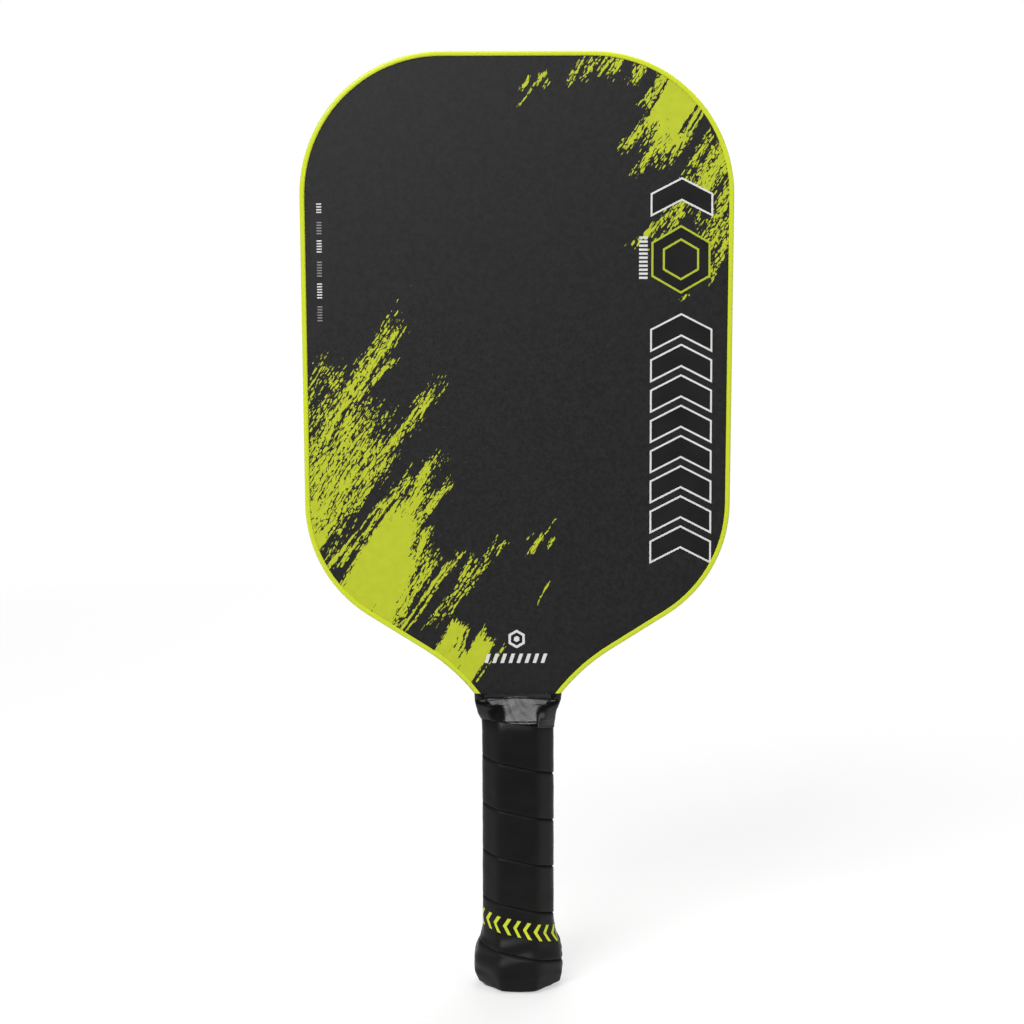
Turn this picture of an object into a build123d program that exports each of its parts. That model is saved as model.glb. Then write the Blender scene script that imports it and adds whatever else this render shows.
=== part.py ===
from build123d import *

import os
from math import cos, radians, sin, sqrt

os.makedirs("parts", exist_ok=True)

# A pickleball paddle standing on its butt end, in millimetres. The origin is the centre of the
# butt end, +Z runs up the paddle, X is its width, and the playing faces look along -Y and +Y.

# Outline of the head over the edge guard: straight lines, with a tangent arc at each corner.
paddle_length = 417.8
top_half_width = 95.73
top_corner_radius = 62.3
shoulder_half_width = 93.97
shoulder_height = 187.35
shoulder_radius = 58.9
throat_half_width = 24.18
throat_height = 143.75
throat_radius = 87.6
neck_half_width = 10.18
neck_height = 121.0

# Sandwich panel: honeycomb core, bond films and face sheets, 16 mm over the sheets.
panel_thickness = 16.0
sheet_thickness = 0.6
film_thickness = 0.1
cell_pitch = 10.0
cell_wall = 0.35
tongue_half_width = 10.5

# Edge guard: a U-shaped extrusion pressed over the rim on a strip of double-sided tape.
guard_web = 1.1
guard_lip_overlap = 1.05
guard_lip_thickness = 0.8
guard_rounding = 1.0
guard_lip_chamfer = 0.35
guard_start = 131.0
guard_tape_thickness = 0.15
guard_tape_width = 12.0

# Handle: an octagon made of two glued half shells round the tongue of the panel.
handle_half_width = 14.2
handle_half_thickness = 12.95
handle_diagonal = 14.71
taper_start = 118.0
taper_end = 133.5
taper_half_width = 15.0
taper_half_thickness = 8.5
taper_chamfer = 1.5
taper_arch_radius = 45.0

# Flared butt: how far each facet stands out, and the heights where the flare starts and ends.
flare = 4.06
diagonal_flare = 2.8
flare_top = 32.0
flare_widest = 12.0
butt_chamfer = 3.5
flare_radius = 40.0
butt_radius = 4.0

# Butt cap: a skirt in a rebate of the shells, a closed end, and a round recess for the badge.
cap_skirt = 1.0
cap_floor = 5.0
badge_radius = 11.5
badge_thickness = 1.0
badge_recess = 1.2

# Staples of flat wire: two through the cap into the shells, one at the start of the wrap.
staple_wire = 0.7
staple_crown = 10.0
cap_staple_height = 23.0
cap_staple_leg = 5.0
cap_staple_depth = 14.75
grip_staple_height = 8.0
grip_staple_leg = 4.0
grip_staple_depth = 18.6

# Cushioned wrap and the tape that finishes it at the neck.
wrap_thickness = 1.8
wrap_start = 2.6
wrap_end = 122.0
tape_thickness = 0.4
tape_bottom = 120.8
tape_top = 134.2
tape_bottom_size = (16.4, 14.4, 7.6)
tape_top_size = (19.75, 9.4, 1.8)

half_panel = panel_thickness / 2
core_half = half_panel - sheet_thickness - film_thickness
core_inset = guard_web + guard_tape_thickness
solid_reach = 60.0


def half_space(low, high):
    # A block that holds everything between two heights.
    return Pos(0, 0, (low + high) / 2) * Box(4 * solid_reach, 2 * solid_reach, high - low)


def head_face(inset):
    # Front view of the head, shrunk by an inset from the outside of the edge guard.
    right_corners = [
        (top_half_width, paddle_length),
        (shoulder_half_width, shoulder_height),
        (throat_half_width, throat_height),
        (neck_half_width, neck_height),
    ]
    left_corners = [(-x, z) for x, z in reversed(right_corners)]
    right_radii = [top_corner_radius, shoulder_radius, throat_radius, 0]
    radii = right_radii + right_radii[::-1]
    outline = FilletPolyline(*right_corners, *left_corners, radius=radii, close=True)
    face = Plane.XZ * make_face(outline)
    if inset == 0:
        return face
    return offset(face, amount=-inset, kind=Kind.INTERSECTION)


def panel_face():
    # The head with the tongue that runs down inside the handle to the floor of the butt cap.
    tongue_top = neck_height + 8
    tongue = Pos(0, (cap_floor + tongue_top) / 2) * Rectangle(
        2 * tongue_half_width, tongue_top - cap_floor
    )
    return head_face(core_inset) + Plane.XZ * tongue


def layer(face, near, far):
    # A slice of the panel between two depths along Y, both given from the middle of the paddle.
    return extrude(Pos(0, near, 0) * face, amount=far - near, dir=(0, 1, 0))


def cell_wires(face):
    # Whole honeycomb cells of the core; cells that the outline would cut stay closed.
    cell_radius = (cell_pitch - cell_wall) / sqrt(3)
    row_pitch = cell_pitch * sqrt(3) / 2
    columns = range(-10, 11)
    rows = range(0, int(paddle_length / row_pitch) + 1)
    wires = []
    for row in rows:
        for column in columns:
            x = (column + row % 2 / 2) * cell_pitch
            z = cap_floor + cell_pitch / 2 + row * row_pitch
            corners = []
            for turn in range(6):
                angle = radians(60 * turn + 30)
                corners.append((x + cell_radius * cos(angle), 0, z + cell_radius * sin(angle)))
            beyond = [Vector(x + (a - x) * 1.12, 0, z + (c - z) * 1.12) for a, _, c in corners]
            if all(face.is_inside(point) for point in beyond):
                wires.append(Wire.make_polygon(corners, close=True))
    return wires


def octagon(half_width, half_thickness, chamfer, height):
    # A level octagon: a rectangle with its four corners cut off at 45 degrees.
    quarter = [
        (half_width, half_thickness - chamfer),
        (half_width - chamfer, half_thickness),
    ]
    corners = quarter + [(-x, y) for x, y in reversed(quarter)]
    corners += [(-x, -y) for x, y in corners]
    return Pos(0, 0, height) * make_face(Polyline(*corners, close=True))


def facet_pair(half_distance, widening):
    # The space between two opposite facets of the handle, with the flare at the butt.
    right_corners = [
        (half_distance, taper_start),
        (half_distance, flare_top),
        (half_distance + widening, flare_widest),
        (half_distance + widening, butt_chamfer),
        (half_distance + widening - butt_chamfer, 0),
    ]
    left_corners = [(-x, z) for x, z in reversed(right_corners)]
    right_radii = [0, flare_radius, flare_radius, butt_radius, 0]
    radii = right_radii + right_radii[::-1]
    outline = FilletPolyline(*right_corners, *left_corners, radius=radii, close=True)
    return extrude(Plane.XZ * make_face(outline), amount=solid_reach, both=True)


def handle_body(growth):
    # The handle's outer shape moved out by a growth, from the butt up past the tapered top.
    body = facet_pair(handle_half_width + growth, flare)
    body &= Rot(0, 0, 90) * facet_pair(handle_half_thickness + growth, flare)
    body &= Rot(0, 0, 45) * facet_pair(handle_diagonal + growth, diagonal_flare)
    body &= Rot(0, 0, -45) * facet_pair(handle_diagonal + growth, diagonal_flare)
    wide = handle_half_width + growth
    thick = handle_half_thickness + growth
    chamfer = wide + thick - (handle_diagonal + growth) * sqrt(2)
    low = octagon(wide, thick, chamfer, taper_start)
    high = octagon(
        taper_half_width + growth, taper_half_thickness + growth, taper_chamfer, taper_end
    )
    return body + loft([low, high], ruled=True)


def staple(leg, depth, height, turn):
    # A flat-wire staple driven in along -X, from a depth measured from the handle's axis.
    crown = Box(staple_wire, staple_crown, staple_wire)
    one_leg = Box(leg, staple_wire, staple_wire)
    reach = (staple_crown - staple_wire) / 2
    inward = -(leg - staple_wire) / 2
    shape = crown + Pos(inward, reach, 0) * one_leg + Pos(inward, -reach, 0) * one_leg
    return Rot(0, 0, turn) * Pos(depth - staple_wire / 2, 0, height) * shape


# The sandwich panel.
panel = panel_face()
panel_outline = panel.faces()[0]
core_plan = Face(panel_outline.outer_wire(), cell_wires(panel_outline))
honeycomb_core = layer(core_plan, -core_half, core_half)
front_bond_film = layer(panel, -core_half - film_thickness, -core_half)
rear_bond_film = layer(panel, core_half, core_half + film_thickness)
front_face_sheet = layer(panel, -half_panel, -half_panel + sheet_thickness)
rear_face_sheet = layer(panel, half_panel - sheet_thickness, half_panel)

# The edge guard and the strip of tape that holds it, from one side of the neck to the other.
above_neck = half_space(guard_start, paddle_length + 1)
guard_half = half_panel + guard_lip_thickness
guard_block = extrude(head_face(0), amount=guard_half, both=True)
long_edges = guard_block.faces().sort_by(Axis.Y)[0].edges()
long_edges += guard_block.faces().sort_by(Axis.Y)[-1].edges()
guard_block = fillet(long_edges, guard_rounding)
guard_channel = extrude(head_face(guard_web), amount=half_panel, both=True)
guard_window = extrude(head_face(guard_web + guard_lip_overlap), amount=solid_reach, both=True)
guard_ring = guard_block - guard_channel - guard_window
lip_edges = guard_ring.faces().sort_by(Axis.Y)[0].inner_wires().edges()
lip_edges += guard_ring.faces().sort_by(Axis.Y)[-1].inner_wires().edges()
edge_guard = chamfer(lip_edges, guard_lip_chamfer) & above_neck

tape_half = guard_tape_width / 2
guard_tape_outside = extrude(head_face(guard_web), amount=tape_half, both=True)
guard_tape_inside = extrude(head_face(core_inset), amount=tape_half, both=True)
edge_guard_tape = (guard_tape_outside - guard_tape_inside) & above_neck

# The handle: two half shells round the tongue, rebated at the bottom for the cap's skirt.
panel_block = layer(panel, -half_panel, half_panel)
bare_handle = handle_body(0)
cap_pocket = handle_body(-cap_skirt) & half_space(cap_floor, flare_top)
cap_pocket &= extrude(
    octagon(
        handle_half_width - cap_skirt,
        handle_half_thickness - cap_skirt,
        handle_half_width + handle_half_thickness - 2 * cap_skirt
        - (handle_diagonal - cap_skirt) * sqrt(2),
        cap_floor,
    ),
    amount=flare_top,
)
shell_arch = Pos(0, 0, taper_end - taper_arch_radius) * Rot(90, 0, 0) * Cylinder(
    taper_arch_radius, 2 * solid_reach
)
shell_top = bare_handle & half_space(taper_start, taper_end) & shell_arch
shell_block = (bare_handle & half_space(flare_top, taper_start)) + shell_top + cap_pocket
shell_block -= panel_block
shell_block -= edge_guard

# The butt cap, its badge and the staples.
butt_cap = (bare_handle & half_space(0, flare_top)) - cap_pocket
butt_cap -= extrude(Circle(badge_radius), amount=badge_recess)
badge_gap = badge_recess - badge_thickness
butt_cap_badge = Pos(0, 0, badge_gap) * extrude(Circle(badge_radius), amount=badge_thickness)
badge_rim = butt_cap_badge.faces().sort_by(Axis.Z)[0].edges()
butt_cap_badge = fillet(badge_rim, badge_gap)

cap_staples = [
    staple(cap_staple_leg, cap_staple_depth, cap_staple_height, turn) for turn in (-90, 90)
]
grip_staple = staple(grip_staple_leg, grip_staple_depth, grip_staple_height, 0)
for one_staple in cap_staples + [grip_staple]:
    butt_cap -= one_staple
    shell_block -= one_staple

front_half = Pos(0, -solid_reach, paddle_length / 2) * Box(
    4 * solid_reach, 2 * solid_reach, 2 * paddle_length
)
handle_shell_front = shell_block & front_half
handle_shell_rear = shell_block - front_half

# The wrap is a closed sleeve over cap and shells, and the finishing tape closes its top end.
grip_wrap = handle_body(wrap_thickness) & half_space(wrap_start, wrap_end)
grip_wrap -= handle_body(0)
grip_wrap -= panel_block
for one_staple in cap_staples + [grip_staple]:
    grip_wrap -= one_staple

tape_inner_sizes = [
    (wide - tape_thickness, thick - tape_thickness, chamfer - tape_thickness / 2)
    for wide, thick, chamfer in (tape_bottom_size, tape_top_size)
]
tape_outside = loft(
    [octagon(*tape_bottom_size, tape_bottom), octagon(*tape_top_size, tape_top)], ruled=True
)
tape_inside = loft(
    [octagon(*tape_inner_sizes[0], tape_bottom), octagon(*tape_inner_sizes[1], tape_top)],
    ruled=True,
)
finishing_tape = tape_outside - tape_inside
for neighbour in (grip_wrap, shell_block, panel_block, edge_guard):
    finishing_tape -= neighbour

nodes = {
    "honeycomb_core": honeycomb_core,
    "front_bond_film": front_bond_film,
    "rear_bond_film": rear_bond_film,
    "front_face_sheet": front_face_sheet,
    "rear_face_sheet": rear_face_sheet,
    "edge_guard": edge_guard,
    "edge_guard_tape": edge_guard_tape,
    "handle_shell_front": handle_shell_front,
    "handle_shell_rear": handle_shell_rear,
    "butt_cap": butt_cap,
    "butt_cap_badge": butt_cap_badge,
    "butt_cap_staples": Compound(children=cap_staples),
    "grip_start_staple": grip_staple,
    "grip_wrap": grip_wrap,
    "finishing_tape": finishing_tape,
}
for name, shape in nodes.items():
    export_step(shape, f"parts/{name}.step")
    print(name, len(shape.solids()), "solids", round(shape.volume), "mm3")
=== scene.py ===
import math
import bpy
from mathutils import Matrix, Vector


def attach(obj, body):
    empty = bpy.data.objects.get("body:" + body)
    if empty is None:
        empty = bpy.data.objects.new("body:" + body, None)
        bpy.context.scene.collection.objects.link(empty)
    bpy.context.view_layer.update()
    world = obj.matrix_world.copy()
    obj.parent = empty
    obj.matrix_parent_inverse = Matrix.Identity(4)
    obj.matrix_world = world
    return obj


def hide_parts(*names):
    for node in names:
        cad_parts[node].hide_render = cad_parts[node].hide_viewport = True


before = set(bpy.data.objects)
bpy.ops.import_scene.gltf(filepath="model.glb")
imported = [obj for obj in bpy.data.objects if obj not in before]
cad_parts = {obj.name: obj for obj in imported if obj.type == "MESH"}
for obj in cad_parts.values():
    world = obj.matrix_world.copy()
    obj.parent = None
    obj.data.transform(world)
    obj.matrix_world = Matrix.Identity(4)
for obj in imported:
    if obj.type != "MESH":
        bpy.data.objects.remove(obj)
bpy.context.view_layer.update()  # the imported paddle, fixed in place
mm = 0.001
print("frame loaded", len(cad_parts), "nodes")


def clearSelection():
    if bpy.context.mode != "OBJECT":
        bpy.ops.object.mode_set(mode="OBJECT")
    bpy.ops.object.select_all(action="DESELECT")


def ease(value, low, high):
    # 0 below low, 1 above high, with a soft start and end
    part = min(max((value - low) / (high - low), 0.0), 1.0)
    return part * part * (3 - 2 * part)


class Signal:
    # one output socket; sums on it add Math nodes to its material
    def __init__(self, finish, socket):
        self.finish = finish
        self.socket = socket

    def math(self, operation, *values):
        return self.finish.add("ShaderNodeMath", {"operation": operation}, dict(enumerate(values)))

    def __add__(self, other):
        return self.math("ADD", self, other)

    def __radd__(self, other):
        return self.math("ADD", other, self)

    def __sub__(self, other):
        return self.math("SUBTRACT", self, other)

    def __rsub__(self, other):
        return self.math("SUBTRACT", other, self)

    def __mul__(self, other):
        return self.math("MULTIPLY", self, other)

    def __rmul__(self, other):
        return self.math("MULTIPLY", other, self)

    def __truediv__(self, other):
        return self.math("DIVIDE", self, other)

    def __mod__(self, other):
        return self.math("FLOORED_MODULO", self, other)

    def __abs__(self):
        return self.math("ABSOLUTE", self)

    def atLeast(self, other):
        return self.math("MAXIMUM", self, other)

    def atMost(self, other):
        return self.math("MINIMUM", self, other)

    def above(self, other):
        return self.math("GREATER_THAN", self, other)

    def below(self, other):
        return self.math("LESS_THAN", self, other)

    def clamped(self):
        return self.atLeast(0).atMost(1)


class Finish:
    # one material: a Principled shader, and one method that adds every other node
    def __init__(self, name, **constants):
        self.material = bpy.data.materials.new(name)
        self.material.use_nodes = True
        self.nodes = self.material.node_tree.nodes
        self.links = self.material.node_tree.links
        self.nodes.clear()
        output = self.nodes.new("ShaderNodeOutputMaterial")
        self.shader = self.nodes.new("ShaderNodeBsdfPrincipled")
        self.links.new(self.shader.outputs[0], output.inputs[0])
        for socket, value in constants.items():
            self.shader.inputs[socket.replace("_", " ")].default_value = value
        self.place = self.add("ShaderNodeTexCoord", {}, {}, "Object")

    def put(self, socket, value):
        if isinstance(value, Signal):
            self.links.new(value.socket, socket)
        elif hasattr(socket.default_value, "__len__") and len(value) < len(socket.default_value):
            socket.default_value = (*value, 1)
        else:
            socket.default_value = value

    def add(self, kind, settings, inputs, output=0):
        node = self.nodes.new(kind)
        for setting, value in settings.items():
            setattr(node, setting, value)
        for key, value in inputs.items():
            self.put(node.inputs[key], value)
        return Signal(self, node.outputs[output])

    def stretched(self, scale, turn=(0, 0, 0), of=None):
        values = {"Vector": of or self.place, "Scale": scale, "Rotation": turn}
        return self.add("ShaderNodeMapping", {}, values)

    def noise(self, vector, scale, detail=2.0, roughness=0.5):
        values = {"Vector": vector, "Scale": scale, "Detail": detail, "Roughness": roughness}
        return self.add("ShaderNodeTexNoise", {}, values, "Fac")

    def axes(self, vector):
        split = self.add("ShaderNodeSeparateXYZ", {}, {"Vector": vector})
        return [Signal(self, socket) for socket in split.socket.node.outputs]

    def blend(self, first, second, share):
        values = {0: share, 6: first, 7: second}
        return self.add("ShaderNodeMix", {"data_type": "RGBA"}, values, 2)

    def wear(self, **sockets):
        for socket, value in sockets.items():
            self.put(self.shader.inputs[socket.replace("_", " ")], value)

    def bumps(self, height, depth):
        values = {"Height": height, "Strength": 1.0, "Distance": depth}
        self.wear(Normal=self.add("ShaderNodeBump", {}, values, "Normal"))


# Splash on the faces: brush strokes in millimetres on the face, each from a low point to a
# high point, with its width, how far its ends and its sides fray, and how solid it is.
splash = {
    "lean": 57.0,
    "breakUp": 5.4,
    "streakLength": 13.0,
    "streakWidth": 1.2,
    "fleckLength": 3.0,
    "fleckWidth": 0.85,
    "flakeLength": 3.2,
    "flakeWidth": 1.1,
    "flakeEdge": 0.22,
    "flakeGap": 0.8,
    "edge": 4.0,
}
lowerLeftStrokes = [
    (-97, 234, -53, 300, 8.5, 16, 4.0, 0.62),
    (-90, 246, -68, 279, 5, 9, 3.4, 0.62),
    (-72, 265, -54, 284, 2.6, 5, 1.3, 0.55),
    (-99, 256, -83, 281, 9, 10, 5.0, 0.10),
    (-96, 246, -74, 277, 7, 9, 4.0, 0.25),
    (-98, 214, -66, 262, 18, 13, 6.0, 0.62),
    (-92, 206, -62, 250, 11, 12, 5.0, 0.72),
    (-88, 207, -35, 272, 6.0, 13, 3.4, 0.62),
    (-84, 204, -56, 244, 7, 9, 4.2, 0.38),
    (-98, 200, -86, 226, 9, 9, 3.0, 0.9),
    (-108, 184, -88, 214, 22, 7, 3.0, 2.5),
    (-92, 200, -79, 216, 6, 6, 3.0, 1.1),
    (-87, 193, -80, 208, 3.6, 5, 1.8, 0.3),
]
solidLeftStrokes = [
    (-79, 164, -47, 222, 20, 10, 1.8, 2.6),
    (-68, 150, -44, 211, 15, 7, 2.8, 2.2),
    (-62, 202, -36, 240, 6.5, 9, 3.2, 0.75),
    (-50, 206, -29.5, 230, 4.0, 5, 1.5, 0.75),
    (-64, 212, -47, 232, 5, 7, 3.0, 0.5),
    (-56, 206, -40, 228, 8, 7, 3.0, 1.1),
    (-86, 190, -58, 222, 2.6, 4, 0.8, 1.1),
    (-80, 192, -52, 227, 2.6, 4, 1.0, 0.9),
    (-56, 166, -37, 197, 7, 8, 3.0, 0.7),
    (-48, 186, -39, 206, 5, 5, 2.4, 0.3),
    (-52.5, 163, -30, 195, 1.6, 3, 0.6, 1.4),
    (-49.5, 163, -28, 195, 1.3, 3, 0.5, 1.3),
    (-32, 189, -25, 199, 3.2, 4, 1.8, 0.4),
    (-37, 168, -9, 201, 4.4, 8, 2.6, 0.12),
    (-28, 180, -19, 197, 4.0, 5, 2.0, 0.45),
    (-31, 172, -14, 193, 3.2, 6, 1.8, 0.3),
    (-11, 199.5, -5, 203, 1.2, 2, 0.7, 0.6),
    (-45, 161, -38, 168, 1.2, 3, 1.4, 0.0),
]
throatStrokes = [
    (-37, 146, -26, 168, 6.4, 2, 0.7, 3),
    (-30, 146, -23.5, 166, 2.6, 3, 0.6, 3),
    (-27, 148, -21.5, 165, 1.4, 3, 0.5, 2),
    (-35, 140, -25, 156, 8.5, 2, 0.6, 3),
    (-28, 136, -13.2, 160.5, 9.0, 2, 0.6, 3),
    (-20, 150, -14.3, 165, 1.6, 3, 0.5, 2),
    (-38, 153, -33, 160, 1.5, 2, 0.7, 0.8),
    (-19, 140, -6, 156, 1.2, 3, 0.9, 0.2),
    (5, 197, 11.6, 206, 2.6, 3, 1.0, 1.0),
    (12, 206, 16.6, 213, 0.7, 2, 0.6, 0.6),
    (13.4, 200.5, 16.4, 205, 1.5, 2, 0.8, 0.6),
    (4, 203.5, 6.5, 207, 1.0, 2, 0.8, 0.3),
    (8.4, 174.5, 14, 185, 1.1, 2.4, 0.55, 0.8),
]
upperStrokes = [
    (2, 401, 6, 407, 2.2, 2, 1.0, 0.6),
    (7, 402, 13, 409.6, 2.4, 2.4, 1.0, 0.9),
    (1, 394, 6.5, 402, 0.9, 2, 0.6, 0.8),
    (11, 401, 14, 405, 1.2, 2, 0.8, 0.3),
    (22, 404, 29, 414, 2.6, 4, 1.6, 0.3),
    (29, 406, 37, 420, 4.0, 5, 2.2, 0.35),
    (36, 407, 43, 421, 3.6, 4, 1.8, 0.5),
    (41, 407, 48, 420, 4.2, 4, 1.8, 0.6),
    (50, 405, 60, 420, 5.0, 5, 2.6, 0.4),
    (61, 372, 90, 415, 15, 9, 2.2, 2.4),
    (57, 380, 78, 416, 11, 7, 1.8, 2.4),
    (47, 376, 62, 394, 4.0, 6, 2.0, 0.8),
    (53, 366, 66, 386, 4.4, 7, 2.0, 0.9),
    (63, 372, 74, 389, 5.0, 6, 2.2, 0.7),
    (71, 379, 84, 397, 3.4, 5, 1.6, 1.1),
    (56, 394, 66, 410, 5.0, 5, 2.2, 0.8),
]
rightStrokes = [
    (72, 362, 86, 383, 3.4, 5, 2.0, 0.35),
    (75, 350, 99, 386, 11, 9, 4.0, 0.75),
    (88, 350, 100, 372, 5, 7, 3.0, 0.9),
    (82, 332, 100, 362, 10, 8, 4.2, 0.4),
    (60, 334, 84, 368, 8, 8, 3.8, 0.3),
    (84, 320, 98, 343, 4.5, 6, 2.6, 0.5),
    (51, 333, 66, 346.5, 3.6, 5, 2.0, 0.5),
    (71, 321.5, 80, 331, 2.4, 3, 1.2, 0.7),
    (70, 309, 77, 312.5, 1.6, 3, 1.0, 0.4),
]
# Places where the brush left the black showing between strokes.
dryGaps = [
    (-81, 186, -55, 221, 0.9, 5, 0.8, 0.9),
    (-74, 202, -62, 217, 1.2, 4, 0.8, 0.8),
    (-88, 196, -80, 207, 2.0, 3, 1.6, 0.6),
    (-46, 200, -41, 214, 0.6, 4, 1.4, 0.4),
    (-26.6, 151, -25, 153.4, 0.5, 1, 0.4, 1.2),
    (72, 383, 80, 396, 0.8, 3, 0.7, 0.8),
    (76, 384, 82, 394, 0.6, 3, 0.6, 0.8),
    (68, 366, 92, 400, 3.2, 6, 1.4, 1.5),
]


def strokeField(finish, point, strokes):
    # above 0 inside the nearest stroke, falling as fast as its edges fray
    field = None
    for x1, z1, x2, z2, width, endFray, sideFray, solid in strokes:
        length = math.hypot(x2 - x1, z2 - z1)
        along = ((x2 - x1) / length, 0, (z2 - z1) / length)
        across = (along[2], 0, -along[0])
        middle = ((x1 + x2) / 2, (z1 + z2) / 2)
        distances = []
        for axis, half, fray in ((along, length / 2, endFray), (across, width / 2, sideFray)):
            values = {0: point, 1: axis}
            reach = finish.add("ShaderNodeVectorMath", {"operation": "DOT_PRODUCT"}, values, "Value")
            centre = middle[0] * axis[0] + middle[1] * axis[2]
            distances.append((half - abs(reach - centre)) / fray)
        stroke = distances[0].atMost(distances[1]).atMost(solid)
        field = stroke if field is None else field.atLeast(stroke)
    return field


facePrint = {
    "black": (0.0015, 0.0015, 0.0016),
    "blackLight": (0.0085, 0.0085, 0.0087),
    "lime": (0.55, 0.62, 0.022),
    "limeDeep": (0.48, 0.55, 0.012),
    "roughness": 0.52,
    "threadPitch": 0.9,
    "grit": 0.00004,
}


def makeFacePrint(name, side):
    # side is 1 on the front and -1 on the rear, so that both faces read the same way round
    finish = Finish(name, Specular_IOR_Level=0.42)
    point = finish.stretched((side / mm, 1 / mm, 1 / mm))
    x, _, z = finish.axes(point)
    lean = (0, math.radians(splash["lean"]), 0)

    def brushed(length, width):
        # the face turned along the brush and stretched to one grain length and width
        turned = finish.stretched((1, 1, 1), lean, point)
        return finish.stretched((1 / length, 1, 1 / width), of=turned)

    streaks = finish.noise(brushed(splash["streakLength"], splash["streakWidth"]), 1.0, 2.0)
    flecks = finish.noise(brushed(splash["fleckLength"], splash["fleckWidth"]), 1.0, 1.0)
    everyStroke = lowerLeftStrokes + solidLeftStrokes + throatStrokes + upperStrokes + rightStrokes
    field = strokeField(finish, point, everyStroke)
    field = field.atMost(0 - strokeField(finish, point, dryGaps))
    flakePlace = {"Vector": brushed(splash["flakeLength"], splash["flakeWidth"]), "Scale": 1}
    toEdge = {"feature": "DISTANCE_TO_EDGE"}
    flakes = finish.add("ShaderNodeTexVoronoi", toEdge, flakePlace, "Distance")
    gaps = (flakes.atMost(splash["flakeEdge"]) / splash["flakeEdge"] - 1) * splash["flakeGap"]
    broken = (streaks * 0.62 + flecks * 0.38 - 0.5) * splash["breakUp"]
    paint = ((field.atLeast(-1.5) + broken + gaps) * splash["edge"] + 0.5).clamped()

    mottle = finish.noise(point, 0.55, 4.0, 0.65)
    weave = 2 * math.pi / facePrint["threadPitch"]
    threads = finish.add("ShaderNodeMath", {"operation": "SINE"}, {0: x * weave})
    crossing = finish.add("ShaderNodeMath", {"operation": "SINE"}, {0: z * weave})
    cloth = threads * crossing
    black = finish.blend(
        facePrint["black"], facePrint["blackLight"], (mottle * 3.2 - 1.15 + cloth * 0.25).clamped()
    )
    limeShade = (finish.noise(point, 0.25, 3.0) * 1.8 - 0.4 + cloth * 0.08).clamped()
    lime = finish.blend(facePrint["limeDeep"], facePrint["lime"], limeShade)
    finish.wear(
        Base_Color=finish.blend(black, lime, paint),
        Roughness=facePrint["roughness"] + (mottle - 0.5) * 0.18 + paint * 0.04,
    )
    grit = finish.noise(point, 2.6, 3.0, 0.7)
    finish.bumps(grit * 0.8 + cloth * 0.25 + paint * 0.5, facePrint["grit"])
    return finish.material


def moulded(name, colour, deep, roughness, grain, depth, **constants):
    # a moulded plastic or rubber with a fine grain and slightly uneven colour
    finish = Finish(name, **constants)
    cloud = finish.noise(finish.place, grain * 0.06, 3.0)
    fine = finish.noise(finish.place, grain, 3.0, 0.6)
    share = (cloud * 1.4 + fine * 0.5 - 0.45).clamped()
    finish.wear(
        Base_Color=finish.blend(deep, colour, share),
        Roughness=(roughness + (fine - 0.5) * 0.22 + (cloud - 0.5) * 0.12).clamped(),
    )
    finish.bumps(fine, depth)
    return finish.material


guardFinish = moulded("lime_guard", (0.66, 0.76, 0.026), (0.635, 0.73, 0.024), 0.27, 1400, 0.00001)
cadFinishes = {
    "honeycomb_core": moulded(
        "core_polypropylene", (0.80, 0.82, 0.79), (0.70, 0.72, 0.70), 0.4, 900, 0.00002
    ),
    "front_bond_film": moulded(
        "bond_film", (0.62, 0.52, 0.28), (0.5, 0.4, 0.2), 0.25, 700, 0.00001
    ),
    "front_face_sheet": makeFacePrint("front_face_print", 1),
    "rear_face_sheet": makeFacePrint("rear_face_print", -1),
    "edge_guard": guardFinish,
    "edge_guard_tape": moulded(
        "guard_tape", (0.80, 0.80, 0.76), (0.68, 0.68, 0.64), 0.6, 1800, 0.00002
    ),
    "handle_shell_front": moulded(
        "shell_foam", (0.05, 0.05, 0.05), (0.03, 0.03, 0.03), 0.6, 1600, 0.00004
    ),
    "butt_cap": moulded(
        "cap_nylon", (0.022, 0.022, 0.023), (0.012, 0.012, 0.013), 0.5, 2600, 0.00004
    ),
    "butt_cap_badge": moulded(
        "badge_resin", (0.55, 0.66, 0.02), (0.46, 0.56, 0.014), 0.16, 500, 0.00001, Coat_Weight=0.6
    ),
    "butt_cap_staples": moulded(
        "staple_steel", (0.62, 0.62, 0.60), (0.5, 0.5, 0.48), 0.3, 3000, 0.00001, Metallic=1.0
    ),
}
cadFinishes["rear_bond_film"] = cadFinishes["front_bond_film"]
cadFinishes["handle_shell_rear"] = cadFinishes["handle_shell_front"]
cadFinishes["grip_start_staple"] = cadFinishes["butt_cap_staples"]
for node, finish in cadFinishes.items():
    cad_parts[node].data.materials.clear()
    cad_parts[node].data.materials.append(finish)
print("finishes on the CAD pieces", len(cadFinishes))


handle = {
    "halfWidth": 16.0,
    "halfThickness": 14.75,
    "diagonal": 16.51,
    "flare": 4.06,
    "diagonalFlare": 2.8,
    "flareTop": 31.5,
    "flareWidest": 10.8,
    "leftDelay": 3.6,
    "taperStart": 118.0,
    "taperSlope": 0.287,
    "wrapTaperStart": 116.5,
    "wrapTaperCurve": 0.04,
    "taperWiden": 0.052,
    "cornerSharpness": 20,
    "buttSharpness": 30,
}


def facetRadius(angle, facets, sharpness):
    # distance from the handle's axis to a soft-edged outline of flat facets, along one direction
    total = 0.0
    for facing, distance in facets:
        share = math.cos(angle - facing)
        if share > 0:
            total += (share / distance) ** sharpness
    return total ** (-1 / sharpness)


def eightFacets(width, thickness, diagonal, lean=math.pi / 4):
    facets = [(0, width), (math.pi, width), (math.pi / 2, thickness), (-math.pi / 2, thickness)]
    for facing in (lean, math.pi - lean, math.pi + lean, -lean):
        facets.append((facing, diagonal))
    return facets


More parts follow.
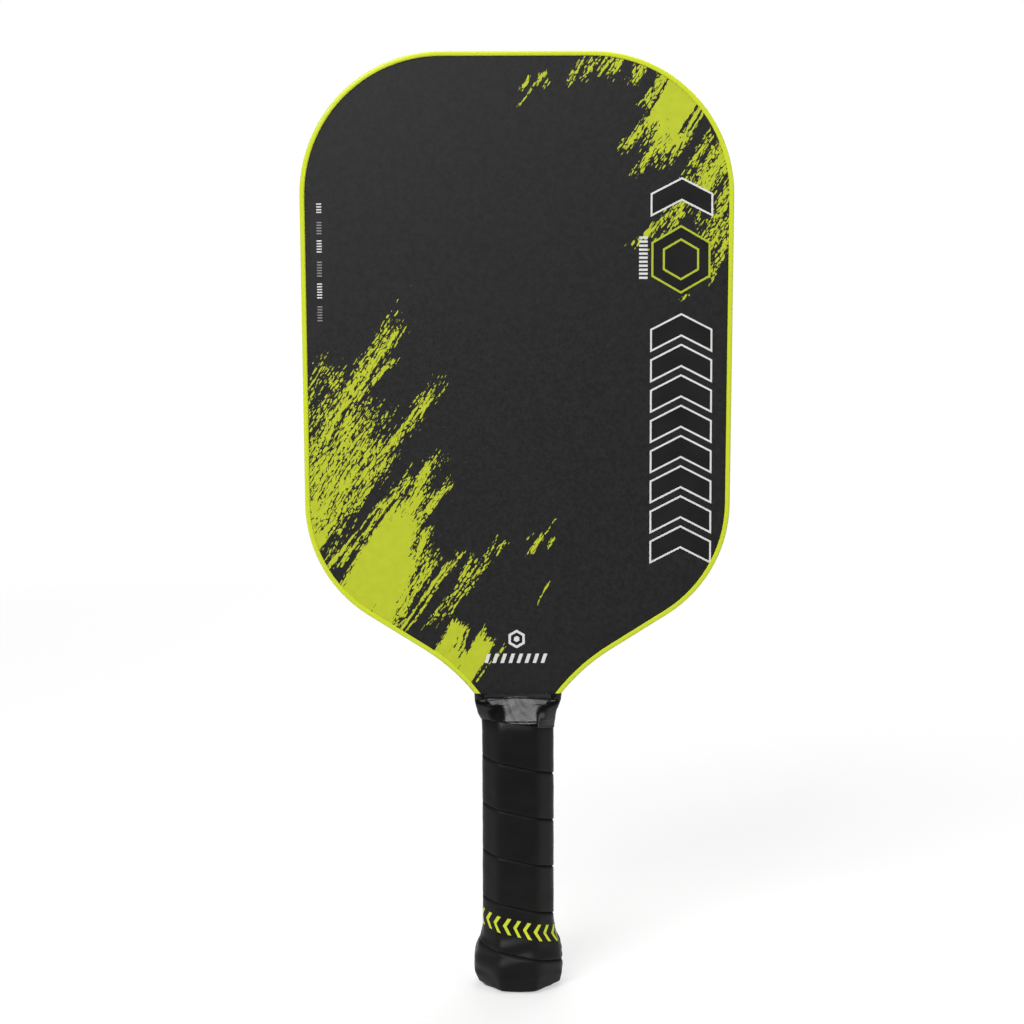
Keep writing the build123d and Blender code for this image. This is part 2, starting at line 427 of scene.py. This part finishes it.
def tapeLow(turn):
    # height of the tape's slanted lower edge round the handle
    return tape["lowMiddle"] + tape["lowSwing"] * math.cos(2 * math.pi * (turn - tape["lowTurn"]))


def rollSleeve(name, columns, rows, placePoint):
    # a flat grid rolled into a closed sleeve; the last row meets the first
    clearSelection()
    bpy.ops.mesh.primitive_grid_add(x_subdivisions=columns, y_subdivisions=len(rows) - 1, size=1)
    piece = bpy.context.active_object
    piece.name = name
    piece.data.name = name
    texture = piece.data.uv_layers.active
    turns = {}
    for vertex in piece.data.vertices:
        turn = vertex.co.x + 0.5
        row = rows[round((vertex.co.y + 0.5) * (len(rows) - 1))]
        turns[vertex.index] = (turn, row[1])
        vertex.co = placePoint(turn, *row)
    for loop in piece.data.loops:
        texture.data[loop.index].uv = turns[loop.vertex_index]
    bpy.ops.object.mode_set(mode="EDIT")
    bpy.ops.mesh.select_all(action="SELECT")
    bpy.ops.mesh.remove_doubles(threshold=0.000004)
    bpy.ops.mesh.normals_make_consistent(inside=False)
    bpy.ops.object.mode_set(mode="OBJECT")
    bpy.ops.object.shade_smooth()
    return piece


def adopt(piece, finish=None):
    if finish:
        piece.data.materials.clear()
        piece.data.materials.append(finish)
    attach(piece, "root")


tape = {
    "top": 134.9,
    "columns": 200,
    "rowCount": 84,
    "thickness": 0.3,
    "lowMiddle": 121.0,
    "lowSwing": 2.4,
    "lowTurn": 0.45,
    "outerEdge": 122.9,
    "outerStep": 0.13,
    "archTop": 133.4,
    "archCurve": 165.0,
    "archRidge": 0.16,
    "faceLevel": 8.3,
    "overLips": 9.2,
    "frontEdge": 9.0,
    "slope": 0.475,
    "neckDepth": 8.5,
    "neckHeight": 133.5,
    "shoulder": 15.1,
    "drop": 7.6,
    "dropFade": 7.35,
    "crinkle": 0.04,
    "pull": 0.07,
    "black": (0.004, 0.004, 0.005),
    "blackLight": (0.009, 0.009, 0.011),
    "roughness": 0.21,
    "sharpness": 80,
    "leftEase": 5.0,
    "leftCurve": 0.045,
}
wrap = {
    "bottom": 0.5,
    "sideRise": 2.0,
    "top": 124.4,
    "rowHeight": 0.34,
    "columns": 150,
    "pitch": 21.4,
    "firstSeam": 11.85,
    "lipRise": 0.08,
    "lipReach": 3.0,
    "valleyDepth": 0.78,
    "valleyReach": 0.8,
    "crown": 0.12,
    "depth": 1.5,
    "underTape": 0.55,
    "sway": 0.05,
    "bunchTop": 28,
    "bunchLow": 3.5,
    "crease": 0.24,
    "dimple": 0.30,
    "edgeRound": 0.8,
    "perimeter": 106.0,
}


def wrapPoint(turn, depth, height):
    # turn runs from the right over the front; depth 0 is the outside of the wrap
    angle = -2 * math.pi * turn
    leftShare = 0.5 - 0.5 * math.cos(angle)
    flareTop = handle["flareTop"] - handle["leftDelay"] * leftShare
    flared = ease(flareTop - height, 0, flareTop - handle["flareWidest"])
    tuck = (0.4 + 0.3 * leftShare) * max(0, (handle["flareWidest"] - height) / 5.6) ** 2
    over = max(0, height - handle["wrapTaperStart"])
    fallen = handle["wrapTaperCurve"] * over**2
    width = handle["halfWidth"] + handle["flare"] * flared - tuck + over * handle["taperWiden"]
    thickness = handle["halfThickness"] + handle["flare"] * flared - tuck - fallen
    diagonal = handle["diagonal"] + handle["diagonalFlare"] * flared - tuck - fallen * 0.6
    facets = eightFacets(width, thickness, diagonal)
    sharpness = handle["cornerSharpness"] + handle["buttSharpness"] * ease(10 - height, 0, 7)
    radius = facetRadius(angle, facets, sharpness) - depth
    radius -= wrap["underTape"] * ease(height, tapeLow(turn) + 0.2, tapeLow(turn) + 1.4)
    if depth == 0:
        rise = ((height - wrap["firstSeam"]) / wrap["pitch"] - turn) % 1.0
        upward = rise * wrap["pitch"]
        downward = wrap["pitch"] - upward
        radius += wrap["lipRise"] * math.exp(-((upward / wrap["lipReach"]) ** 2))
        radius -= wrap["valleyDepth"] * math.exp(-((downward / wrap["valleyReach"]) ** 2))
        radius += wrap["crown"] * (1 - (2 * rise - 1) ** 4)
        sway = math.sin(5 * angle + height * 0.31) * math.sin(height * 0.23 + 2 * angle)
        radius += wrap["sway"] * sway
        # the cushion bunches up a little where it is pulled over the flare
        bunched = ease(wrap["bunchTop"] - height, 0, 6) * ease(height - wrap["bunchLow"], 0, 5)
        crease = math.sin(height * 0.78 + 2.6 * math.sin(2 * angle + 0.4) + 1.5 * angle)
        dimple = math.sin(3 * angle + 1.3) * math.sin(height * 0.42 + angle)
        radius += bunched * (wrap["crease"] * crease + wrap["dimple"] * dimple)
        lowRound = wrap["edgeRound"] - min(wrap["edgeRound"], height - wrap["bottom"])
        radius -= wrap["edgeRound"] - math.sqrt(max(0, wrap["edgeRound"] ** 2 - lowRound**2))
    # the lower edge is folded a little higher at the narrow sides
    height += wrap["sideRise"] * math.cos(angle) ** 2 * ease(12 - height, 0, 12 - wrap["bottom"])
    return (radius * math.cos(angle) * mm, radius * math.sin(angle) * mm, height * mm)


insideHeights = (wrap["top"], 118.0, 34.0, 26.0, 18.0, 10.8, wrap["bottom"])
wrapRows = [(wrap["depth"], height) for height in insideHeights]
rowCount = round((wrap["top"] - wrap["bottom"]) / wrap["rowHeight"])
for step in range(rowCount + 1):
    wrapRows.append((0, wrap["bottom"] + (wrap["top"] - wrap["bottom"]) * step / rowCount))
wrapRows.append(wrapRows[0])
gripWrap = rollSleeve("cushion_wrap", wrap["columns"], wrapRows, wrapPoint)

wrapPrint = {
    "low": 8.2,
    "high": 15.6,
    "pitch": 4.9,
    "stroke": 1.7,
    "point": 0.62,
    "start": 2.0,
    "group": 11,
    "black": (0.0026, 0.0026, 0.0027),
    # worn grey, also used for the painted highlight along each turn's edge above its seam
    "wornAndHighlight": (0.0085, 0.0082, 0.0078),
    "lime": (0.70, 0.77, 0.04),
}


def makeWrapFinish():
    finish = Finish("cushion_wrap", Specular_IOR_Level=0.22)
    flat = finish.add("ShaderNodeUVMap", {"uv_map": "UVMap"}, {})
    turn, height, _ = finish.axes(flat)
    rise = (height - wrap["firstSeam"]) / wrap["pitch"] - turn
    onFirstTurn = rise.above(0) * rise.below(1)
    up = rise * wrap["pitch"]
    middle = (wrapPrint["low"] + wrapPrint["high"]) / 2
    # a row of chevrons that follows the first turn of the wrap
    girth = turn * wrap["perimeter"] + abs(up - middle) * wrapPrint["point"] + wrapPrint["start"]
    stroke = (girth % wrapPrint["pitch"]).below(wrapPrint["stroke"])
    gap = (girth % (wrapPrint["pitch"] * wrapPrint["group"])).above(wrapPrint["pitch"])
    band = up.above(wrapPrint["low"]) * up.below(wrapPrint["high"])
    lime = stroke * gap * band * onFirstTurn
    seamDistance = rise % 1.0
    # painted highlight: the base colour turns lighter along each turn's edge just above its seam;
    # painted shadow darkens the band just below the seam, where the roughness also rises
    edge = (1 - seamDistance * 10).clamped() * 0.25
    shadow = (seamDistance * 13 - 12).clamped()
    cloud = finish.noise(finish.place, 90, 4.0, 0.6)
    smear = finish.noise(finish.stretched((1, 1, 2.5)), 55, 3.0, 0.55)
    grain = finish.noise(finish.place, 2400, 3.0, 0.6)
    pores = finish.add(
        "ShaderNodeTexVoronoi", {}, {"Vector": finish.place, "Scale": 1500}, "Distance"
    )
    # a plain gradient by height that makes the grip greyer towards the butt
    greyTowardButt = (60 - height) * 0.008  # greyer towards the butt
    share = (cloud * 1.1 + smear * 0.9 - 0.72 + edge + greyTowardButt + (grain - 0.5) * 0.6).clamped()
    share = share * (1 - shadow)
    black = finish.blend(wrapPrint["black"], wrapPrint["wornAndHighlight"], share)
    finish.wear(
        Base_Color=finish.blend(black, wrapPrint["lime"], lime),
        Roughness=(
            0.46 + (smear - 0.5) * 0.4 + (grain - 0.5) * 0.2 + lime * 0.1 + shadow * 0.4
        ).clamped(),
    )
    finish.bumps(pores * 0.7 + grain * 0.5 + lime * 0.6, 0.00004)
    return finish.material


adopt(gripWrap, makeWrapFinish())
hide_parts("grip_wrap")
print("wrap", len(gripWrap.data.polygons), "faces")


# half widths of the neck at some heights
leftSide = [(118, 16.3), (123, 16.5), (124, 16.9), (126.1, 17.9)]
leftSide += [(129.2, 18.7), (131.5, 19.15), (134.3, 19.3)]
rightSide = [(118, 16.3), (124.3, 16.75), (127.5, 17.3), (129.7, 18.2), (132.2, 19.2), (134.3, 19.45)]


def along(points, height):
    # straight-line reading of a short profile
    for (low, first), (high, second) in zip(points, points[1:]):
        if height <= high:
            return first + (second - first) * max(0, height - low) / (high - low)
    return points[-1][1]


def tapePoint(turn, depth, part):
    # part runs from 0 at the slanted lower edge to 1 at the top edge on the faces
    angle = -2 * math.pi * turn
    height = tapeLow(turn) + (tape["top"] - tapeLow(turn)) * part
    sideShare = 0.5 + 0.5 * math.cos(angle)
    width = along(rightSide, height) * sideShare + along(leftSide, height) * (1 - sideShare)
    slope = tape["neckDepth"] + (tape["neckHeight"] - height) * tape["slope"]
    shoulder = tape["shoulder"] - (height - handle["taperStart"]) * handle["taperSlope"]
    thickness = min(max(slope, tape["overLips"]), shoulder)
    drop = tape["drop"] - tape["dropFade"] * ease(height, 119.5, 132.0)
    # the diagonal facets run from the front facet's edge to the narrow sides
    run = width - tape["frontEdge"]
    lean = math.atan2(run, drop)
    diagonal = (drop * tape["frontEdge"] + run * thickness) / math.hypot(run, drop)
    radius = facetRadius(angle, eightFacets(width, thickness, diagonal, lean), tape["sharpness"])
    x, y = radius * math.cos(angle), radius * math.sin(angle)
    # the tape is pulled tight over the right edge and rounds off before the left one
    rounding = tape["leftCurve"] * max(0, min(-x, tape["frontEdge"]) - tape["leftEase"]) ** 2
    rounding *= 1 - ease(-x, tape["frontEdge"], width)
    y -= math.copysign(rounding, y) * ease(height, 120.5, 126) * (1 - ease(height, 127, 131))
    over = ease(height, tape["outerEdge"] - 0.12, tape["outerEdge"] + 0.12)
    crinkle = math.sin(9 * angle + 1.7 * math.sin(3 * angle)) * math.sin(height * 0.8 + 5 * angle)
    pull = math.sin(height * 1.1 + 3 * math.sin(2 * angle)) * ease(abs(x), 6, 13)
    if height > 130:
        # on the faces the band lies down between the guard's lips
        settle = ease(14.5 + (height - 131.5) * 0.57 - abs(x), 0, 1.6)
        arch = tape["archTop"] - x * x / tape["archCurve"]
        level = tape["faceLevel"] + max(0, slope - tape["faceLevel"]) * ease(arch - height, -0.3, 0.7)
        level += tape["archRidge"] * math.exp(-(((height - arch) / 0.28) ** 2))
        if abs(y) > 6:
            y += (math.copysign(level, y) - y) * settle
    stepOut = tape["outerStep"] * over + tape["crinkle"] * crinkle + tape["pull"] * pull * (1 - part)
    grow = 1 + (stepOut - depth) / radius
    return (x * grow * mm, y * grow * mm, height * mm)


tapeRows = [(tape["thickness"], part) for part in (1.0, 0.8, 0.6, 0.4, 0.2, 0.0)]
tapeRows += [(0, step / tape["rowCount"]) for step in range(tape["rowCount"] + 1)]
tapeRows.append(tapeRows[0])
neckTape = rollSleeve("neck_tape", tape["columns"], tapeRows, tapePoint)


def makeTapeFinish():
    finish = Finish("neck_tape", Specular_IOR_Level=0.6)
    cloud = finish.noise(finish.place, 160, 4.0, 0.6)
    ripple = finish.noise(finish.stretched((1, 1, 3.0)), 120, 2.0, 0.5)
    fine = finish.noise(finish.place, 2600, 2.0)
    finish.wear(
        Base_Color=finish.blend(tape["black"], tape["blackLight"], cloud),
        Roughness=(tape["roughness"] + (cloud - 0.5) * 0.08 + (fine - 0.5) * 0.04).clamped(),
    )
    finish.bumps(ripple + fine * 0.03, 0.00002)
    return finish.material


adopt(neckTape, makeTapeFinish())
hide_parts("finishing_tape")
print("tape", len(neckTape.data.polygons), "faces")


inks = {
    "level": 8.0,
    "lift": 0.04,
    "sunk": 0.01,
    "outline": 0.8,
    "white": (0.80, 0.80, 0.79),
    "whiteDeep": (0.70, 0.70, 0.69),
    "lime": (0.48, 0.55, 0.028),
    "limeDeep": (0.42, 0.49, 0.02),
}
whiteInk = moulded("white_ink", inks["white"], inks["whiteDeep"], 0.5, 1500, 0.00001)
limeInk = moulded("lime_ink", inks["lime"], inks["limeDeep"], 0.5, 1500, 0.00001)
greyInk = moulded("grey_ink", (0.30, 0.29, 0.30), (0.20, 0.19, 0.20), 0.5, 1500, 0.00001)
patchInk = moulded(
    "patch_ink", (0.012, 0.009, 0.011), (0.006, 0.005, 0.006), 0.5, 1500, 0.00001,
    Specular_IOR_Level=0.42,
)
fillInk = moulded(
    "fill_ink", facePrint["blackLight"], facePrint["black"], 0.52, 1500, 0.00001,
    Specular_IOR_Level=0.3,
)


def pick(piece, test):
    # selects a piece's points by their place in millimetres and leaves it in edit mode
    bpy.ops.object.mode_set(mode="EDIT")
    bpy.ops.mesh.select_mode(type="VERT")
    bpy.ops.mesh.select_all(action="DESELECT")
    bpy.ops.object.mode_set(mode="OBJECT")
    for vertex in piece.data.vertices:
        vertex.select = test(vertex.co.x / mm, vertex.co.z / mm)
    bpy.ops.object.mode_set(mode="EDIT")


def flatPlate(left, right, low, high, columns=1):
    # a rectangle lying on the front face
    clearSelection()
    bpy.ops.mesh.primitive_grid_add(
        x_subdivisions=columns,
        y_subdivisions=1,
        size=1,
        location=((left + right) / 2 * mm, (inks["sunk"] - inks["level"]) * mm, (low + high) / 2 * mm),
        rotation=(math.pi / 2, 0, 0),
    )
    piece = bpy.context.active_object
    piece.scale = ((right - left) * mm, (high - low) * mm, 1)
    bpy.ops.object.transform_apply(location=True, rotation=True, scale=True)
    return piece


def slide(across, up):
    bpy.ops.transform.translate(value=(across * mm, 0, up * mm))


def leaningBar(left, right, low, high, across=0, up=0):
    # a rectangle whose top leans across, or whose right end is pushed up
    piece = flatPlate(left, right, low, high)
    pick(piece, lambda x, z: z > (low + high) / 2)
    slide(across, 0)
    pick(piece, lambda x, z: x > (left + right + across) / 2)
    slide(0, up)
    bpy.ops.object.mode_set(mode="OBJECT")
    return piece


def chevron(left, right, low, thick, rise):
    piece = flatPlate(left, right, low, low + thick, columns=2)
    pick(piece, lambda x, z: abs(x - (left + right) / 2) < 1)
    slide(0, rise)
    bpy.ops.object.mode_set(mode="OBJECT")
    return piece


def hexagon(x, z, radius):
    clearSelection()
    bpy.ops.mesh.primitive_circle_add(
        vertices=6,
        radius=radius * mm,
        fill_type="NGON",
        location=(x * mm, (inks["sunk"] - inks["level"]) * mm, z * mm),
        rotation=(math.pi / 2, 0, 0),
    )
    bpy.ops.object.transform_apply(location=True, rotation=True, scale=True)
    return bpy.context.active_object


def inkOver(piece, lineInk, inside=None, outline=inks["outline"], lift=inks["lift"]):
    # paints a flat shape, with another ink inside its outline, and gives it a film's thickness
    piece.data.materials.append(lineInk)
    bpy.ops.object.mode_set(mode="EDIT")
    bpy.ops.mesh.select_mode(type="FACE")
    bpy.ops.mesh.select_all(action="SELECT")
    if inside:
        piece.data.materials.append(inside)
        bpy.ops.mesh.inset(thickness=outline * mm)
        piece.active_material_index = 1
        bpy.ops.object.material_slot_assign()
    bpy.ops.object.mode_set(mode="OBJECT")
    film = piece.modifiers.new("film", "SOLIDIFY")
    film.thickness = (lift + inks["sunk"]) * mm
    film.offset = 1.0
    bpy.ops.object.modifier_apply(modifier=film.name)
    return piece


def stepCopies(piece, count, across, up):
    copies = [piece]
    for step in range(1, count):
        clearSelection()
        piece.select_set(True)
        bpy.context.view_layer.objects.active = piece
        bpy.ops.object.duplicate()
        slide(across * step, up * step)
        bpy.ops.object.transform_apply(location=True, rotation=False, scale=False)
        copies.append(bpy.context.active_object)
    return copies


def joinPieces(name, pieces):
    clearSelection()
    for piece in pieces:
        piece.select_set(True)
    bpy.context.view_layer.objects.active = pieces[0]
    bpy.ops.object.join()
    joined = bpy.context.active_object
    joined.name = name
    joined.data.name = name
    return joined


column = {
    "left": 58.6,
    "right": 86.0,
    "low": 193.0,
    "thick": 10.2,
    "rise": 7.0,
    "step": 13.4,
    "count": 8,
    "topLow": 346.0,
    "hexagonAcross": 72.0,
    "hexagonUp": 327.5,
    "hexagonBorder": 0.9,
    "hexagonRings": ((15.0, 0.04), (9.2, 0.07)),  # radius and height above the face
}
columnPieces = []
for start, count in ((column["low"], column["count"]), (column["topLow"], 1)):
    first = chevron(column["left"], column["right"], start, column["thick"], column["rise"])
    first = inkOver(first, whiteInk, fillInk)
    columnPieces += stepCopies(first, count, 0, column["step"])
for radius, lift in column["hexagonRings"]:
    ring = hexagon(column["hexagonAcross"], column["hexagonUp"], radius)
    columnPieces.append(inkOver(ring, limeInk, fillInk, column["hexagonBorder"], lift))

ticks = {"left": 53.6, "right": 57.4, "low": 319.0, "tall": 1.0, "step": 1.75, "count": 11}
smallTicks = {
    "left": -87.9,
    "right": -85.7,
    "tall": 0.55,
    "step": 1.2,
    "lift": 0.06,
    "strongRows": ((310.8, 6), (330.8, 5), (348.0, 4)),  # lowest tick and how many
    "faintRows": ((300.8, 6), (320.3, 6), (338.8, 5)),
    "patch": (-90.6, -82.8, 293.0, 353.0),
    "patchRise": 5.0,
    "patchLift": 0.03,
}
firstTick = leaningBar(ticks["left"], ticks["right"], ticks["low"], ticks["low"] + ticks["tall"])
tickPieces = stepCopies(inkOver(firstTick, whiteInk), ticks["count"], 0, ticks["step"])
for ink, rows in ((whiteInk, smallTicks["strongRows"]), (greyInk, smallTicks["faintRows"])):
    for low, count in rows:
        firstTick = leaningBar(smallTicks["left"], smallTicks["right"], low, low + smallTicks["tall"])
        firstTick = inkOver(firstTick, ink, lift=smallTicks["lift"])
        tickPieces += stepCopies(firstTick, count, 0, smallTicks["step"])
patch = leaningBar(*smallTicks["patch"], up=smallTicks["patchRise"])
tickPieces.append(inkOver(patch, patchInk, lift=smallTicks["patchLift"]))

throat = {
    "across": -0.5,
    "up": 159.4,
    "radius": 4.2,
    "border": 1.1,
    "dotRadius": 1.4,
    "dotLift": 0.07,
    "barLeft": -15.0,
    "barRight": -13.4,
    "barLow": 148.6,
    "barHigh": 152.8,
    "barLean": 1.4,
    "barStep": 3.6,
    "bars": 8,
}
ring = hexagon(throat["across"], throat["up"], throat["radius"])
throatPieces = [inkOver(ring, whiteInk, fillInk, throat["border"])]
dot = hexagon(throat["across"], throat["up"], throat["dotRadius"])
throatPieces.append(inkOver(dot, whiteInk, lift=throat["dotLift"]))
firstBar = inkOver(
    leaningBar(
        throat["barLeft"], throat["barRight"], throat["barLow"], throat["barHigh"], throat["barLean"]
    ),
    whiteInk,
)
throatPieces += stepCopies(firstBar, throat["bars"], throat["barStep"], 0)

for name, pieces in (("column", columnPieces), ("ticks", tickPieces), ("throat", throatPieces)):
    front = joinPieces("front_print_" + name, pieces)
    clearSelection()
    front.select_set(True)
    bpy.context.view_layer.objects.active = front
    bpy.ops.object.duplicate()
    rear = bpy.context.active_object
    rear.name = "rear_print_" + name
    rear.data.name = rear.name
    bpy.ops.object.mode_set(mode="EDIT")
    bpy.ops.mesh.select_all(action="SELECT")
    bpy.ops.transform.rotate(value=math.pi, orient_axis="Z", center_override=(0, 0, 0))
    bpy.ops.object.mode_set(mode="OBJECT")
    adopt(front)
    adopt(rear)
    print("print", name, len(front.data.polygons), "faces a side")


studio = {
    "floorRadius": 1.7,
    "floorSolid": 0.35,  # full strength within this distance
    "floorFade": 1.3,
    "floorStrength": 0.45,
    "camera": (-0.00244, -0.8966, 0.2940),
    "target": (-0.00244, 0.0, 0.2156),
    "roll": -0.13,
    "lens": 70.64,
    "roomFront": 0.06,
    "roomSides": 0.70,
    "roomAbove": 0.30,
}
clearSelection()
bpy.ops.mesh.primitive_circle_add(vertices=96, radius=studio["floorRadius"], fill_type="NGON")
floor = bpy.context.active_object
floor.name = "studio_floor"
floorFinish = Finish("studio_floor", Roughness=0.9, Specular_IOR_Level=0.1)
fromMiddle = floorFinish.add(
    "ShaderNodeVectorMath", {"operation": "LENGTH"}, {0: floorFinish.place}, "Value"
)
floorFinish.wear(
    Base_Color=floorFinish.blend(
        (0.93, 0.93, 0.93), (0.96, 0.96, 0.96), floorFinish.noise(floorFinish.place, 3)
    ),
    Alpha=(1 - (fromMiddle - studio["floorSolid"]) / studio["floorFade"]).clamped()
    * studio["floorStrength"],
)
floor.data.materials.append(floorFinish.material)


def softLight(name, position, target, width, height, power):
    clearSelection()
    bpy.ops.object.light_add(type="AREA", location=position)
    lamp = bpy.context.active_object
    lamp.name = name
    lamp.data.shape = "RECTANGLE"
    lamp.data.size = width
    lamp.data.size_y = height
    lamp.data.energy = power
    aim = Vector(target) - lamp.location
    lamp.rotation_euler = aim.to_track_quat("-Z", "Y").to_euler()
    return lamp


keyLight = softLight("key_softbox", (-0.62, -1.3, 1.25), (0, 0, 0.25), 0.8, 0.8, 22.6)
softLight("fill_softbox", (1.6, -1.1, 0.9), (0, 0, 0.2), 0.8, 1.4, 5)
softLight("top_softbox", (0, 0.2, 2.0), (0, 0, 0.0), 1.6, 1.6, 18)
softLight("tape_softbox", (0.05, -1.4, 1.28), (0, 0, 0.13), 0.32, 0.16, 1.7)
softLight("rear_softbox", (0.3, 1.6, 1.1), (0, 0, 0.25), 1.2, 1.2, 14)
# a flag keeps the big softbox off the glossy neck tape
flagged = bpy.data.collections.new("flagged_from_key")
flagged.objects.link(neckTape)
flagged.collection_objects[0].light_linking.link_state = "EXCLUDE"
keyLight.light_linking.receiver_collection = flagged

# the room: white to the camera, dimmer in front of the paddle and brighter at its sides
world = bpy.data.worlds.new("studio")
world.use_nodes = True
bpy.context.scene.world = world
room = world.node_tree
sky = room.nodes["Background"]
sky.inputs["Color"].default_value = (1, 1, 1, 1)
direction = room.nodes.new("ShaderNodeTexCoord")
split = room.nodes.new("ShaderNodeSeparateXYZ")
room.links.new(direction.outputs["Generated"], split.inputs[0])


def roomRamp(source, low, high, first, last):
    ramp = room.nodes.new("ShaderNodeMapRange")
    for setting, value in (("From Min", low), ("From Max", high), ("To Min", first), ("To Max", last)):
        ramp.inputs[setting].default_value = value
    room.links.new(source, ramp.inputs["Value"])
    return ramp


frontward = roomRamp(split.outputs["Y"], -1.0, -0.1, studio["roomFront"], studio["roomSides"])
upward = roomRamp(split.outputs["Z"], -0.1, 0.3, 1.0, studio["roomAbove"])
both = room.nodes.new("ShaderNodeMath")
both.operation = "MULTIPLY"
room.links.new(frontward.outputs["Result"], both.inputs[0])
room.links.new(upward.outputs["Result"], both.inputs[1])
seen = room.nodes.new("ShaderNodeLightPath")
level = roomRamp(seen.outputs["Is Camera Ray"], 0.0, 1.0, 0.0, 1.0)
room.links.new(both.outputs[0], level.inputs["To Min"])
room.links.new(level.outputs["Result"], sky.inputs["Strength"])

bpy.ops.object.camera_add(location=studio["camera"])
camera = bpy.context.active_object
camera.data.lens = studio["lens"]
camera.data.sensor_width = 36
camera.data.clip_start = 0.01
aim = Vector(studio["target"]) - camera.location
camera.rotation_euler = aim.to_track_quat("-Z", "Y").to_euler()
camera.rotation_euler.rotate_axis("Z", math.radians(studio["roll"]))
bpy.context.scene.camera = camera
bpy.context.scene.view_settings.view_transform = "Standard"
print("studio ready")
